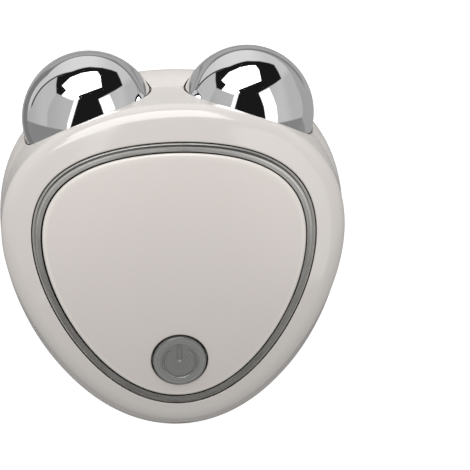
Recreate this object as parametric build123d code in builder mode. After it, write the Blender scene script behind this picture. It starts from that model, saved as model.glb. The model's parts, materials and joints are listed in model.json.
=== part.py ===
from build123d import *
from math import asin, cos, pi, radians, sin, sqrt, tan
import os

os.makedirs("parts", exist_ok=True)

# Facial toning device: an egg-shaped pebble of two moulded shells that lies on its back.
# +Z points out of the front panel, +Y towards the two roller balls, X is the width.
# Millimetres. The origin is under the middle of the device, at the height of its flat back.

# Overall form
body_width = 89.4
tail_reach = 48.85  # origin to the tail tip
head_reach = 44.2  # origin to the widest outline between the balls
back_depth = 20.0  # flat back to the parting plane
parting_head_reach = 39.0  # origin to the parting line between the balls
parting_margin = 0.6  # how far the parting outline stands inside the widest one at the sides
parting_tail_margin = 1.4  # the same at the tail
bulge_depth = 9.0  # parting plane down to the widest outline of the back shell
base_inset = 14.0  # how far the rounded back draws in before it is flat
egg_taper = 0.091  # how much wider the head half is than the tail half
head_fullness = 0.0105
corner_fullness = 0.0222
outline_points = 16

# Front shell
crown_height = 24.0  # parting plane to the top of the crowned front
crown_apex_y = 8.0
crown_length_radius = 88.0
crown_width_radius = 110.0
head_draft = 18.0
side_draft = 4.6
tail_draft = 15.0
corner_easing = 0.0018  # how the corners round off for each millimetre of height
shoulder_radius = 6.0
wall = 2.2
floor_wall = 2.0

# Panel, trim ring and the tray they sit in
ring_half_width = 35.2
ring_head_reach = 23.15
ring_tail_reach = 41.85
ring_taper = 0.155
ring_corner_fullness = 0.035
ring_width = 2.3
ring_width_at_tail = 1.85
ring_sunk = 0.35
ring_edge = 0.4
panel_thickness = 2.4
panel_edge_radius = 0.8
tray_floor = 1.6
seat_gap = 0.2  # clearance round the ring and the panel in their seats
peg_radius = 1.2
peg_length = 1.2
peg_gap = 0.1

# Roller balls
ball_diameter = 34.5
ball_spacing = 40.6  # centre to centre
ball_centre_y = 31.6
axle_splay = 23.9  # degrees that each axle leans outwards
ball_gap = 0.35
socket_wall = 1.8
ball_wall = 1.6
hub_radius = 8.0
hub_thickness = 2.2
hub_tube_radius = 4.0
axle_radius = 2.0
axle_depth_in_hub = 9.0
running_gap = 0.05
end_play = 0.15
bushing_radius = 3.5
outer_bushing_length = 4.0
inner_bushing_length = 3.0
bushing_pitch = 7.5
clip_groove_radius = 1.6
clip_radius = 3.6
clip_thickness = 0.6
axle_tail = 1.6  # length beyond the clip
saddle_width = 14.0
contact_spring_width = 4.0
contact_spring_thickness = 0.3

# Power button and its switch
button_y = -30.75
button_diameter = 13.5
button_gap = 0.4
button_proud = 0.4
button_chamfer = 0.35
button_travel = 0.4
flange_rim = 1.0
flange_thickness = 1.0
flange_clearance = 0.5
flange_side_gap = 0.3
guide_wall = 1.4
guide_depth = 1.2
stem_radius = 1.75
stem_length = 1.7
plunger_radius = 1.7
plunger_height = 0.8
plunger_depth = 1.2
plunger_gap = 0.1
switch_side = 6.0
switch_height = 3.5
switch_board_width = 26.0
switch_board_length = 16.0
board_thickness = 1.2
switch_post_spread = 21.0

# Boards, battery and fasteners
main_board_half_width = 14.0
main_board_head_y = -3.5
main_board_tail_y = -42.4
board_nose_half_width = 6.0
board_nose_length = 3.0
board_tongue_half_width = 2.8
board_tongue_length = 9.0
main_board_drop = 6.0  # parting plane down to the top of the main board
post_radius = 2.2
tail_post_x = 10.5
tail_post_y = -35.5
head_post_y = 3.0
small_screw_radius = 0.8
small_screw_head_radius = 1.7
small_screw_head_height = 1.0
small_screw_length = 5.0
battery_width = 26.0
battery_length = 24.0
battery_thickness = 5.2
battery_y = -15.0
battery_corner = 1.5
pad_thickness = 0.8
battery_gap = 0.3
usb_width = 7.5
usb_height = 2.5
usb_length = 5.5
usb_shell = 0.35
usb_recess = 0.7
port_gap = 0.3
chip_side = 5.0
chip_height = 1.6
coil_radius = 3.0
coil_height = 3.0
head_boss_x = 26.0
head_boss_y = 4.5
tail_boss_x = 19.5
tail_boss_y = -23.5
boss_radius = 4.0
screw_radius = 1.25
screw_clearance = 0.15
screw_head_radius = 2.3
screw_head_height = 1.5
screw_head_edge = 0.5
screw_length = 14.0
counterbore_gap = 0.3
lip_thickness = 1.0
lip_height = 1.5
lip_gap = 0.1
lead_radius = 0.5
screw_engagement = 6.0  # depth of the screw's thread in the back shell
bushing_flange_thickness = 0.8
bushing_flange_radius = 4.4
spring_foot_length = 3.8
bay_reach = 1.5  # battery's side out to the outside of its bay rib
bay_rib_height = 2.6
port_corner = 0.9
panel_pegs = [(-22.0, 12.5), (22.0, 12.5), (-13.0, -30.5), (13.0, -30.5)]
switch_corner = 0.4
switch_leg_reach = 0.9
switch_leg_width = 0.7
switch_leg_pitch = 4.5
switch_leg_thickness = 0.3
board_corner = 1.0
usb_tongue_width = 4.4
usb_tongue_thickness = 0.6
chip_place = (5.0, -14.0)
chip_bevel = 0.2
chip_legs = 8
chip_leg_pitch = 0.6
chip_leg_width = 0.3
chip_leg_reach = 0.6
chip_leg_thickness = 0.5
coil_place = (-7.0, -13.0)
coil_cheek = 0.7
coil_waist = 0.6
capacitor_places = [(-7.0, -20.0), (-7.0, -23.0), (7.0, -31.0), (9.5, -26.0)]
capacitor_length = 2.0
capacitor_width = 1.25
battery_edge = 0.8
battery_lead_x = 1.2
battery_lead_reach = 1.7
battery_lead_bend = 1.1
switch_lead_pitch = 1.5
switch_lead_y = 5.0
switch_lead_reach = 4.0
switch_lead_bend = 5.0
cross_slot = 0.6
cross_depth = 0.75
hub_collar_radius = 3.0
axle_chamfer = 0.3
clip_opening = 2.6
contact_spring_rise = 2.2  # above the axle
electrode_lead_rise = 3.0
electrode_lead_bend = 1.3
electrode_landing_x = 9.0
electrode_landing_y = -6.5
electrode_foot_share = 0.7  # how far along the spring's foot the lead is soldered

# Heights that several pieces share
parting_z = back_depth
crown_z = parting_z + crown_height
ball_radius = ball_diameter / 2
socket_radius = ball_radius + ball_gap
socket_skin_radius = socket_radius + socket_wall
half_width = body_width / 2
parting_half_width = half_width - parting_margin
parting_tail_reach = tail_reach - parting_tail_margin
wall_reach = crown_height + 4
tray_depth = panel_thickness
roof_drop = panel_thickness + tray_floor
main_board_z = parting_z - main_board_drop
battery_under_z = floor_wall + pad_thickness
spring_foot_top = contact_spring_thickness - main_board_drop  # from the axle's height


def egg_points(width_half, head_y, tail_y, taper, corner, inset=0.0):
    # An egg outline from the head round to the tail and back, in equal steps of its angle.
    # The inset moves each point square to the outline, towards the middle.
    crest = (sqrt(1 + 32 * taper**2) - 1) / (8 * taper)
    widest = sqrt(1 - crest**2) * (1 + 2 * taper * crest)
    middle = (head_y + tail_y) / 2
    reach = (head_y - tail_y) / 2
    points = []
    for step in range(outline_points):
        a = 2 * pi * step / outline_points
        x = width_half * (sin(a) + taper * sin(2 * a)) / widest
        y = middle + reach * (
            cos(a) + head_fullness * (1 - cos(2 * a)) + corner * (cos(a) - cos(3 * a))
        )
        dx = width_half * (cos(a) + 2 * taper * cos(2 * a)) / widest
        dy = reach * (
            2 * head_fullness * sin(2 * a) - sin(a) + corner * (3 * sin(3 * a) - sin(a))
        )
        run = sqrt(dx**2 + dy**2)
        points.append((x + inset * dy / run, y - inset * dx / run))
    return points


def egg_face(width_half, head_y, tail_y, taper, corner, inset=0.0):
    with BuildSketch() as face:
        with BuildLine():
            Spline(*egg_points(width_half, head_y, tail_y, taper, corner, inset), periodic=True)
        make_face()
    return face.sketch


def wall_section(height, inset=0.0):
    # The front shell's outline at a height above the parting plane, drawn in by its draft.
    return egg_face(
        parting_half_width - height * tan(radians(side_draft)),
        parting_head_reach - height * tan(radians(head_draft)),
        -parting_tail_reach + height * tan(radians(tail_draft)),
        egg_taper,
        corner_fullness - height * corner_easing,
        inset,
    )


def back_section(bulge, draw_in, inset=0.0):
    # The back shell's outline: bulge runs from 0 at the parting plane to 1 at the widest outline.
    return egg_face(
        parting_half_width + bulge * parting_margin - draw_in,
        parting_head_reach + bulge * (head_reach - parting_head_reach) - draw_in,
        -parting_tail_reach - bulge * parting_tail_margin + draw_in,
        egg_taper,
        corner_fullness,
        inset,
    )


def ring_outline(inset=0.0):
    return egg_face(
        ring_half_width, ring_head_reach, -ring_tail_reach, ring_taper, ring_corner_fullness, inset
    )


def panel_outline(inset=0.0):
    # The ring's inner edge: the ring is narrower at the tail than at the head and sides.
    return egg_face(
        ring_half_width - ring_width,
        ring_head_reach - ring_width,
        -ring_tail_reach + ring_width_at_tail,
        ring_taper,
        ring_corner_fullness,
        inset,
    )


def crown_barrel(drop):
    # Everything below the crowned front, lowered by drop: an arc along the length turned
    # about an axis that runs lengthwise, so that all such faces are parallel.
    axis_z = crown_z - crown_width_radius
    arc_radius = crown_length_radius - drop
    top_z = crown_z - drop
    half_span = body_width * 0.8
    end_z = crown_z - crown_length_radius + sqrt(arc_radius**2 - half_span**2)
    with BuildPart() as barrel:
        with BuildSketch(Plane.YZ):
            with BuildLine():
                RadiusArc(
                    (crown_apex_y - half_span, end_z),
                    (crown_apex_y + half_span, end_z),
                    arc_radius,
                )
                Polyline(
                    (crown_apex_y + half_span, end_z),
                    (crown_apex_y + half_span, axis_z),
                    (crown_apex_y - half_span, axis_z),
                    (crown_apex_y - half_span, end_z),
                )
            make_face()
        revolve(axis=Axis((0, 0, axis_z), (0, 1, 0)), revolution_arc=360)
    return barrel.part


def back_form(inset, depth):
    # The back shell's pebble form: it bulges to its widest outline, then rounds under to a
    # flat land. Inset and depth make the inner form from the same sections.
    lower = depth - bulge_depth
    with BuildPart() as form:
        for part_way in (0, 0.33, 0.66, 1):
            with BuildSketch(Plane.XY.offset(parting_z - bulge_depth * part_way)):
                add(back_section(sin(part_way * pi / 2), 0, inset))
        for turn in (25, 45, 65, 80, 90):
            with BuildSketch(Plane.XY.offset(parting_z - bulge_depth - lower * sin(radians(turn)))):
                add(back_section(1, base_inset * (1 - cos(radians(turn))), inset))
        loft()
    return form.part


def crown_point(x, y, drop=0.0):
    # Height of the crowned front above a place, lowered by drop.
    along = crown_width_radius - crown_length_radius + sqrt(
        (crown_length_radius - drop) ** 2 - (y - crown_apex_y) ** 2
    )
    return crown_z - crown_width_radius + sqrt(along**2 - x**2)


def inward(side):
    # Unit direction of an axle, from its ball into the body. Side is -1 on the left, 1 on the right.
    return Vector(-side * sin(radians(axle_splay)), -cos(radians(axle_splay)), 0)


def ball_centre(side):
    return Vector(side * ball_spacing / 2, ball_centre_y, parting_z)


def axle_plane(side, distance=0.0):
    # Square to the axle, at a distance inwards from the ball's centre, local X upwards.
    return Plane(ball_centre(side), x_dir=(0, 0, 1), z_dir=inward(side)).offset(distance)


def axle_section(side):
    # Holds the axle: local X is the distance from it, local Y the distance inwards.
    across = Vector(0, 0, 1).cross(inward(side))
    return Plane(ball_centre(side), x_dir=(0, 0, 1), z_dir=across)


def spring_section(side):
    # Upright plane along the axle: local X is the distance inwards, local Y is upwards.
    return Plane(ball_centre(side), x_dir=inward(side), z_dir=inward(side).cross(Vector(0, 0, 1)))


ball_centres = [ball_centre(side) for side in (-1, 1)]

# The button stands square to the crown
button_slope = asin((button_y - crown_apex_y) / crown_length_radius)
button_plane = Plane(
    (0, button_y, crown_point(0, button_y)),
    x_dir=(1, 0, 0),
    z_dir=(0, sin(button_slope), cos(button_slope)),
)
button_axis = Axis(button_plane.origin, button_plane.z_dir)
button_radius = button_diameter / 2
flange_radius = button_radius + flange_rim
flange_bore = flange_radius + flange_side_gap
flange_top = panel_thickness + flange_clearance
stem_top = flange_top + flange_thickness
plunger_top = stem_top + stem_length
switch_top = plunger_top + plunger_height
switch_board_top = switch_top + switch_height
switch_board_under = switch_board_top + board_thickness
switch_posts = [(-switch_post_spread / 2, 0), (switch_post_spread / 2, 0)]

# Stations along each axle, measured inwards from the ball's centre
hub_face = sqrt(ball_radius**2 - hub_radius**2) - ball_gap
hub_back = hub_face - hub_thickness
axle_start = hub_back - axle_depth_in_hub
outer_bushing_at = socket_radius + end_play
inner_bushing_at = outer_bushing_at + bushing_pitch
clip_at = inner_bushing_at + inner_bushing_length + end_play
axle_end = clip_at + clip_thickness + axle_tail
spring_at = axle_end + running_gap
outer_rib_length = outer_bushing_at + outer_bushing_length - bushing_flange_thickness - (
    socket_skin_radius - socket_wall / 2
)
port_plane = Plane(
    (0, -tail_reach + usb_recess, main_board_z + usb_height / 2), x_dir=(1, 0, 0), z_dir=(0, -1, 0)
)

# Fastener places
housing_bosses = [
    (-head_boss_x, head_boss_y),
    (head_boss_x, head_boss_y),
    (-tail_boss_x, tail_boss_y),
    (tail_boss_x, tail_boss_y),
]
main_posts = [(-tail_post_x, tail_post_y), (tail_post_x, tail_post_y), (0, head_post_y)]
screw_seat_z = parting_z + screw_length - screw_engagement
board_under_z = main_board_z - board_thickness

# Front shell: drafted egg wall, crowned front, rounded shoulder
with BuildPart() as front_form:
    with BuildSketch(Plane.XY.offset(parting_z)):
        add(wall_section(0))
    with BuildSketch(Plane.XY.offset(parting_z + wall_reach)):
        add(wall_section(wall_reach))
    loft(ruled=True)
    add(crown_barrel(0), mode=Mode.INTERSECT)
    fillet(front_form.faces().sort_by(Axis.Z)[-1].edges(), shoulder_radius)

with BuildPart() as front_cavity:
    with BuildSketch(Plane.XY.offset(parting_z)):
        add(wall_section(0, wall))
    with BuildSketch(Plane.XY.offset(parting_z + wall_reach)):
        add(wall_section(wall_reach, wall))
    loft(ruled=True)
    add(crown_barrel(roof_drop), mode=Mode.INTERSECT)
    with Locations(*ball_centres):
        Sphere(socket_skin_radius, mode=Mode.SUBTRACT)
front_room = front_cavity.solids().sort_by(SortBy.VOLUME)[-1]

with BuildPart() as tray:
    with BuildSketch(Plane.XY.offset(parting_z)):
        add(ring_outline(-seat_gap))
    extrude(amount=wall_reach)
    add(crown_barrel(tray_depth), mode=Mode.SUBTRACT)

# Ribs and bosses inside the front shell, trimmed inside its roof
with BuildPart() as front_ribs:
    with BuildSketch(Plane.XY.offset(parting_z)):
        with Locations(*housing_bosses):
            Circle(boss_radius)
    extrude(amount=crown_height)
    for side in (-1, 1):
        for start, length in (
            (socket_skin_radius - socket_wall / 2, outer_rib_length),
            (inner_bushing_at, inner_bushing_length - bushing_flange_thickness),
        ):
            with BuildSketch(axle_plane(side, start)):
                Rectangle(crown_height, saddle_width, align=(Align.MIN, Align.CENTER))
            extrude(amount=length)
    with BuildSketch(button_plane.offset(-switch_board_top)):
        with Locations(*switch_posts):
            Circle(post_radius)
    extrude(amount=switch_board_top - panel_thickness)
    with BuildSketch(button_plane.offset(-roof_drop - guide_depth)):
        Circle(flange_bore + guide_wall)
    extrude(amount=guide_depth + tray_floor / 2)
    add(crown_barrel(roof_drop - tray_floor / 2), mode=Mode.INTERSECT)

with BuildPart() as front_lip:
    with BuildSketch(Plane.XY.offset(parting_z - lip_height)):
        add(wall_section(0, wall - lip_thickness))
        add(wall_section(0, wall), mode=Mode.SUBTRACT)
    extrude(amount=lip_height)
    with Locations(*ball_centres):
        Sphere(socket_skin_radius + lip_gap, mode=Mode.SUBTRACT)

# Everything cut out of the finished front shell: sockets, bushing seats, bores and peg holes
with BuildPart() as front_cuts:
    with Locations(*ball_centres):
        Sphere(socket_radius)
    for side in (-1, 1):
        with BuildSketch(axle_plane(side, ball_radius)):
            Circle(bushing_radius)
        extrude(amount=clip_at - ball_radius)
    with BuildSketch(button_plane.offset(-switch_board_top)):
        Circle(flange_bore)
    extrude(amount=switch_board_top)
    with BuildSketch(button_plane.offset(-switch_board_top)):
        with Locations(*switch_posts):
            Circle(small_screw_radius)
    extrude(amount=small_screw_length - board_thickness)
    with BuildSketch(Plane.XY.offset(parting_z)):
        with Locations(*housing_bosses):
            Circle(screw_radius + screw_clearance)
    extrude(amount=crown_height)
    with BuildSketch(Plane.XY.offset(screw_seat_z)):
        with Locations(*housing_bosses):
            Circle(screw_head_radius + counterbore_gap)
    extrude(amount=crown_height)
    for x, y in panel_pegs:
        with BuildSketch(Plane.XY.offset(crown_point(x, y, roof_drop) - tray_floor)):
            with Locations((x, y)):
                Circle(peg_radius + peg_gap)
        extrude(amount=roof_drop)

with BuildPart() as front_housing:
    add(front_form.part)
    add([front_room, tray.part], mode=Mode.SUBTRACT)
    add([front_ribs.part, front_lip.part])
    add(front_cuts.part, mode=Mode.SUBTRACT)
front_housing.part.label = "front_housing"
export_step(front_housing.part, "parts/front_housing.step")

# Back shell: the pebble's palm side, with saddles, posts, a battery bay and the charging port
with BuildPart() as back_cavity:
    add(back_form(wall, back_depth - floor_wall))
    with Locations(*ball_centres):
        Sphere(socket_skin_radius, mode=Mode.SUBTRACT)
back_room = back_cavity.solids().sort_by(SortBy.VOLUME)[-1]

with BuildPart() as lip_rebate:
    with BuildSketch(Plane.XY.offset(parting_z - lip_height - lip_gap)):
        add(wall_section(0, wall - lip_thickness - lip_gap))
        add(wall_section(0, 2 * wall), mode=Mode.SUBTRACT)
    extrude(amount=lip_height + lip_gap)
    with Locations(*ball_centres):
        Sphere(socket_skin_radius, mode=Mode.SUBTRACT)

with BuildPart() as back_ribs:
    with BuildSketch(Plane.XY.offset(floor_wall / 2)):
        with Locations(*housing_bosses):
            Circle(boss_radius)
    extrude(amount=parting_z - floor_wall / 2)
    with BuildSketch(Plane.XY.offset(floor_wall)):
        with Locations(*main_posts):
            Circle(post_radius)
    extrude(amount=board_under_z - floor_wall)
    for side in (-1, 1):
        for start, length in (
            (socket_skin_radius - socket_wall / 2, outer_rib_length),
            (inner_bushing_at, inner_bushing_length - bushing_flange_thickness),
        ):
            with BuildSketch(axle_plane(side, start)):
                Rectangle(
                    back_depth - floor_wall / 2, saddle_width, align=(Align.MAX, Align.CENTER)
                )
            extrude(amount=length)
        with BuildSketch(spring_section(side)):
            with Locations((spring_at, -main_board_drop)):
                Rectangle(
                    spring_foot_length,
                    back_depth - main_board_drop - floor_wall / 2,
                    align=(Align.MIN, Align.MAX),
                )
        extrude(amount=contact_spring_width / 2, both=True)
    with BuildSketch(Plane.XY.offset(floor_wall / 2)):
        with Locations((0, battery_y)):
            Rectangle(battery_width + 2 * bay_reach, battery_length + 2 * bay_reach)
            Rectangle(
                battery_width + 2 * battery_gap,
                battery_length + 2 * battery_gap,
                mode=Mode.SUBTRACT,
            )
    extrude(amount=floor_wall / 2 + bay_rib_height)

# Everything cut out of the finished back shell
with BuildPart() as back_cuts:
    with Locations(*ball_centres):
        Sphere(socket_radius)
    for side in (-1, 1):
        with BuildSketch(axle_plane(side, ball_radius)):
            Circle(bushing_radius)
        extrude(amount=clip_at - ball_radius)
    with BuildSketch(Plane.XY.offset(parting_z - screw_engagement)):
        with Locations(*housing_bosses):
            Circle(screw_radius)
    extrude(amount=screw_engagement)
    with BuildSketch(Plane.XY.offset(board_under_z - small_screw_length + board_thickness)):
        with Locations(*main_posts):
            Circle(small_screw_radius)
    extrude(amount=small_screw_length - board_thickness)
    with BuildSketch(port_plane):
        RectangleRounded(usb_width + 2 * port_gap, usb_height + 2 * port_gap, port_corner)
    extrude(amount=usb_length, both=True)

with BuildPart() as back_housing:
    add(back_form(0, back_depth))
    add([back_room, lip_rebate.part], mode=Mode.SUBTRACT)
    add(back_ribs.part)
    add(back_cuts.part, mode=Mode.SUBTRACT)
back_housing.part.label = "back_housing"
export_step(back_housing.part, "parts/back_housing.step")

# Panel, flush with the crown, with locating pegs and the button's hole
with BuildPart() as front_panel:
    with BuildSketch(Plane.XY.offset(parting_z)):
        add(panel_outline(seat_gap))
    extrude(amount=wall_reach)
    add(crown_barrel(0), mode=Mode.INTERSECT)
    add(crown_barrel(panel_thickness), mode=Mode.SUBTRACT)
    fillet(front_panel.faces().sort_by(Axis.Z)[-1].edges(), panel_edge_radius)
    for x, y in panel_pegs:
        peg_end = crown_point(x, y, panel_thickness) - peg_length
        with BuildSketch(Plane.XY.offset(peg_end)):
            with Locations((x, y)):
                Circle(peg_radius)
        extrude(amount=peg_length + panel_thickness / 2)
    with BuildSketch(button_plane.offset(-stem_top)):
        Circle(button_radius + button_gap)
    extrude(amount=stem_top + button_proud, mode=Mode.SUBTRACT)
front_panel.part.label = "front_panel"
export_step(front_panel.part, "parts/front_panel.step")

# Trim ring, between the panel and the edge of its tray
with BuildPart() as trim_ring:
    with BuildSketch(Plane.XY.offset(parting_z)):
        add(ring_outline(0))
        add(panel_outline(0), mode=Mode.SUBTRACT)
    extrude(amount=wall_reach)
    add(crown_barrel(ring_sunk), mode=Mode.INTERSECT)
    add(crown_barrel(tray_depth), mode=Mode.SUBTRACT)
    fillet(trim_ring.faces().sort_by(Axis.Z)[-1].edges(), ring_edge)
trim_ring.part.label = "trim_ring"
export_step(trim_ring.part, "parts/trim_ring.step")

# Button cap: a chamfered disc on a flange that the panel keeps in, with a stem for the switch
with BuildPart() as power_button:
    with BuildSketch(button_plane.offset(-flange_top)):
        Circle(button_radius)
    extrude(amount=flange_top + button_proud)
    chamfer(power_button.faces().sort_by(button_axis)[-1].edges(), button_chamfer)
    with BuildSketch(button_plane.offset(-stem_top)):
        Circle(flange_radius)
    extrude(amount=flange_thickness)
    with BuildSketch(button_plane.offset(-plunger_top)):
        Circle(stem_radius)
    extrude(amount=stem_length)
power_button.part.label = "power_button"
export_step(power_button.part, "parts/power_button.step")

with BuildPart() as switch_plunger:
    with BuildSketch(button_plane.offset(-switch_top - plunger_depth)):
        Circle(plunger_radius)
    extrude(amount=plunger_height + plunger_depth)
switch_plunger.part.label = "switch_plunger"
export_step(switch_plunger.part, "parts/switch_plunger.step")

with BuildPart() as tact_switch:
    with BuildSketch(button_plane.offset(-switch_board_top)):
        Rectangle(switch_side, switch_side)
    extrude(amount=switch_height)
    chamfer(tact_switch.edges().filter_by(button_axis), switch_corner)
    with BuildSketch(button_plane.offset(-switch_top)):
        Circle(plunger_radius + plunger_gap)
    extrude(amount=-(plunger_depth + button_travel + plunger_gap), mode=Mode.SUBTRACT)
    with BuildSketch(button_plane.offset(-switch_board_top)):
        with GridLocations(switch_side + switch_leg_reach, switch_leg_pitch, 2, 2):
            Rectangle(switch_leg_reach, switch_leg_width)
    extrude(amount=switch_leg_thickness)
tact_switch.part.label = "tact_switch"
export_step(tact_switch.part, "parts/tact_switch.step")

with BuildPart() as switch_board:
    with BuildSketch(button_plane.offset(-switch_board_under)):
        RectangleRounded(switch_board_width, switch_board_length, board_corner)
        with Locations(*switch_posts):
            Circle(small_screw_radius, mode=Mode.SUBTRACT)
    extrude(amount=board_thickness)
switch_board.part.label = "switch_board"
export_step(switch_board.part, "parts/switch_board.step")

# Main board: its nose carries the charging socket, its tongue reaches the head post
with BuildPart() as main_board:
    with BuildSketch(Plane.XY.offset(board_under_z)):
        with BuildLine():
            Polyline(
                (board_nose_half_width, main_board_tail_y - board_nose_length),
                (board_nose_half_width, main_board_tail_y),
                (main_board_half_width, main_board_tail_y + board_nose_half_width),
                (main_board_half_width, main_board_head_y),
                (board_tongue_half_width, main_board_head_y),
                (board_tongue_half_width, main_board_head_y + board_tongue_length),
                (0, main_board_head_y + board_tongue_length),
            )
            mirror(about=Plane.YZ)
            Line(
                (-board_nose_half_width, main_board_tail_y - board_nose_length),
                (board_nose_half_width, main_board_tail_y - board_nose_length),
            )
        make_face()
        with Locations(*main_posts):
            Circle(small_screw_radius, mode=Mode.SUBTRACT)
    extrude(amount=board_thickness)
main_board.part.label = "main_board"
export_step(main_board.part, "parts/main_board.step")

with BuildPart() as usb_socket:
    with BuildSketch(port_plane):
        RectangleRounded(usb_width, usb_height, port_corner - port_gap)
    extrude(amount=-usb_length)
    with BuildSketch(port_plane):
        RectangleRounded(
            usb_width - 2 * usb_shell, usb_height - 2 * usb_shell, port_corner - port_gap - usb_shell
        )
    extrude(amount=-(usb_length - usb_shell), mode=Mode.SUBTRACT)
    with BuildSketch(port_plane.offset(-usb_length)):
        Rectangle(usb_tongue_width, usb_tongue_thickness)
    extrude(amount=usb_length - usb_recess)
usb_socket.part.label = "usb_socket"
export_step(usb_socket.part, "parts/usb_socket.step")

with BuildPart() as controller_chip:
    with BuildSketch(Plane.XY.offset(main_board_z)):
        with Locations(chip_place):
            Rectangle(chip_side, chip_side)
    extrude(amount=chip_height)
    chamfer(controller_chip.faces().sort_by(Axis.Z)[-1].edges(), chip_bevel)
    with BuildSketch(Plane.XY.offset(main_board_z)):
        with Locations(chip_place):
            with GridLocations(chip_side + chip_leg_reach, chip_leg_pitch, 2, chip_legs):
                Rectangle(chip_leg_reach, chip_leg_width)
    extrude(amount=chip_leg_thickness)
controller_chip.part.label = "controller_chip"
export_step(controller_chip.part, "parts/controller_chip.step")

# Drum-core coil that raises the battery's voltage for the balls
with BuildPart() as boost_coil:
    with BuildSketch(Plane.XY.offset(main_board_z)):
        with Locations(coil_place):
            Circle(coil_radius)
    extrude(amount=coil_height)
    with BuildSketch(Plane.XY.offset(main_board_z + coil_cheek)):
        with Locations(coil_place):
            Circle(coil_radius)
            Circle(coil_radius - coil_waist, mode=Mode.SUBTRACT)
    extrude(amount=coil_height - 2 * coil_cheek, mode=Mode.SUBTRACT)
boost_coil.part.label = "boost_coil"
export_step(boost_coil.part, "parts/boost_coil.step")

with BuildPart() as board_capacitors:
    with BuildSketch(Plane.XY.offset(main_board_z)):
        with Locations(*capacitor_places):
            Rectangle(capacitor_length, capacitor_width)
    extrude(amount=capacitor_width)
board_capacitors.part.label = "board_capacitors"
export_step(board_capacitors.part, "parts/board_capacitors.step")

# Pouch cell on its foam pad, in the bay of the back shell
with BuildPart() as battery_pad:
    with BuildSketch(Plane.XY.offset(floor_wall)):
        with Locations((0, battery_y)):
            RectangleRounded(battery_width, battery_length, battery_corner)
    extrude(amount=pad_thickness)
battery_pad.part.label = "battery_pad"
export_step(battery_pad.part, "parts/battery_pad.step")

with BuildPart() as battery:
    with BuildSketch(Plane.XY.offset(battery_under_z)):
        with Locations((0, battery_y)):
            RectangleRounded(battery_width, battery_length, battery_corner)
    extrude(amount=battery_thickness)
    fillet(battery.faces().filter_by(Axis.Z).edges(), battery_edge)
battery.part.label = "battery"
export_step(battery.part, "parts/battery.step")


def lead(path_points, bend_radius):
    # One round wire along straight runs joined by arcs.
    with BuildPart() as wire:
        with BuildLine() as route:
            FilletPolyline(*path_points, radius=bend_radius)
        with BuildSketch(Plane(route.line @ 0, z_dir=route.line % 0)):
            Circle(lead_radius)
        sweep()
    return wire.part


battery_top_y = battery_y + battery_length / 2
with BuildPart() as battery_leads:
    for x in (-battery_lead_x, battery_lead_x):
        start = (x, battery_top_y, battery_under_z + battery_thickness / 2)
        turn = (x, battery_top_y + battery_lead_reach, battery_under_z + battery_thickness / 2)
        end = (x, battery_top_y + battery_lead_reach, board_under_z)
        add(lead([start, turn, end], battery_lead_bend))
battery_leads.part.label = "battery_leads"
export_step(battery_leads.part, "parts/battery_leads.step")

with BuildPart() as switch_leads:
    for x in (-switch_lead_pitch, 0, switch_lead_pitch):
        start = button_plane.offset(-switch_board_under).from_local_coords(
            Vector(x, switch_lead_y, 0)
        )
        turn = start - button_plane.z_dir * switch_lead_reach
        end = Vector(turn.X, turn.Y, main_board_z)
        add(lead([start, turn, end], switch_lead_bend))
switch_leads.part.label = "switch_leads"
export_step(switch_leads.part, "parts/switch_leads.step")

# Screws: a pan head on a plain shank, with a cross recess
with BuildPart() as housing_screws:
    with BuildSketch(Plane.XY.offset(screw_seat_z - screw_length)):
        with Locations(*housing_bosses):
            Circle(screw_radius)
    extrude(amount=screw_length)
    with BuildSketch(Plane.XY.offset(screw_seat_z)):
        with Locations(*housing_bosses):
            Circle(screw_head_radius)
    extrude(amount=screw_head_height)
    fillet(housing_screws.faces().group_by(Axis.Z)[-1].edges(), screw_head_edge)
    with BuildSketch(Plane.XY.offset(screw_seat_z + screw_head_height)):
        with Locations(*housing_bosses):
            Rectangle(screw_head_radius, cross_slot)
            Rectangle(cross_slot, screw_head_radius)
    extrude(amount=-cross_depth, mode=Mode.SUBTRACT)
housing_screws.part.label = "housing_screws"
export_step(housing_screws.part, "parts/housing_screws.step")

with BuildPart() as board_screws:
    with BuildSketch(Plane.XY.offset(main_board_z - small_screw_length)):
        with Locations(*main_posts):
            Circle(small_screw_radius)
    extrude(amount=small_screw_length)
    with BuildSketch(Plane.XY.offset(main_board_z)):
        with Locations(*main_posts):
            Circle(small_screw_head_radius)
    extrude(amount=small_screw_head_height)
    with BuildSketch(button_plane.offset(-switch_board_under)):
        with Locations(*switch_posts):
            Circle(small_screw_radius)
    extrude(amount=small_screw_length)
    with BuildSketch(button_plane.offset(-switch_board_under - small_screw_head_height)):
        with Locations(*switch_posts):
            Circle(small_screw_head_radius)
    extrude(amount=small_screw_head_height)
board_screws.part.label = "board_screws"
export_step(board_screws.part, "parts/board_screws.step")

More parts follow.
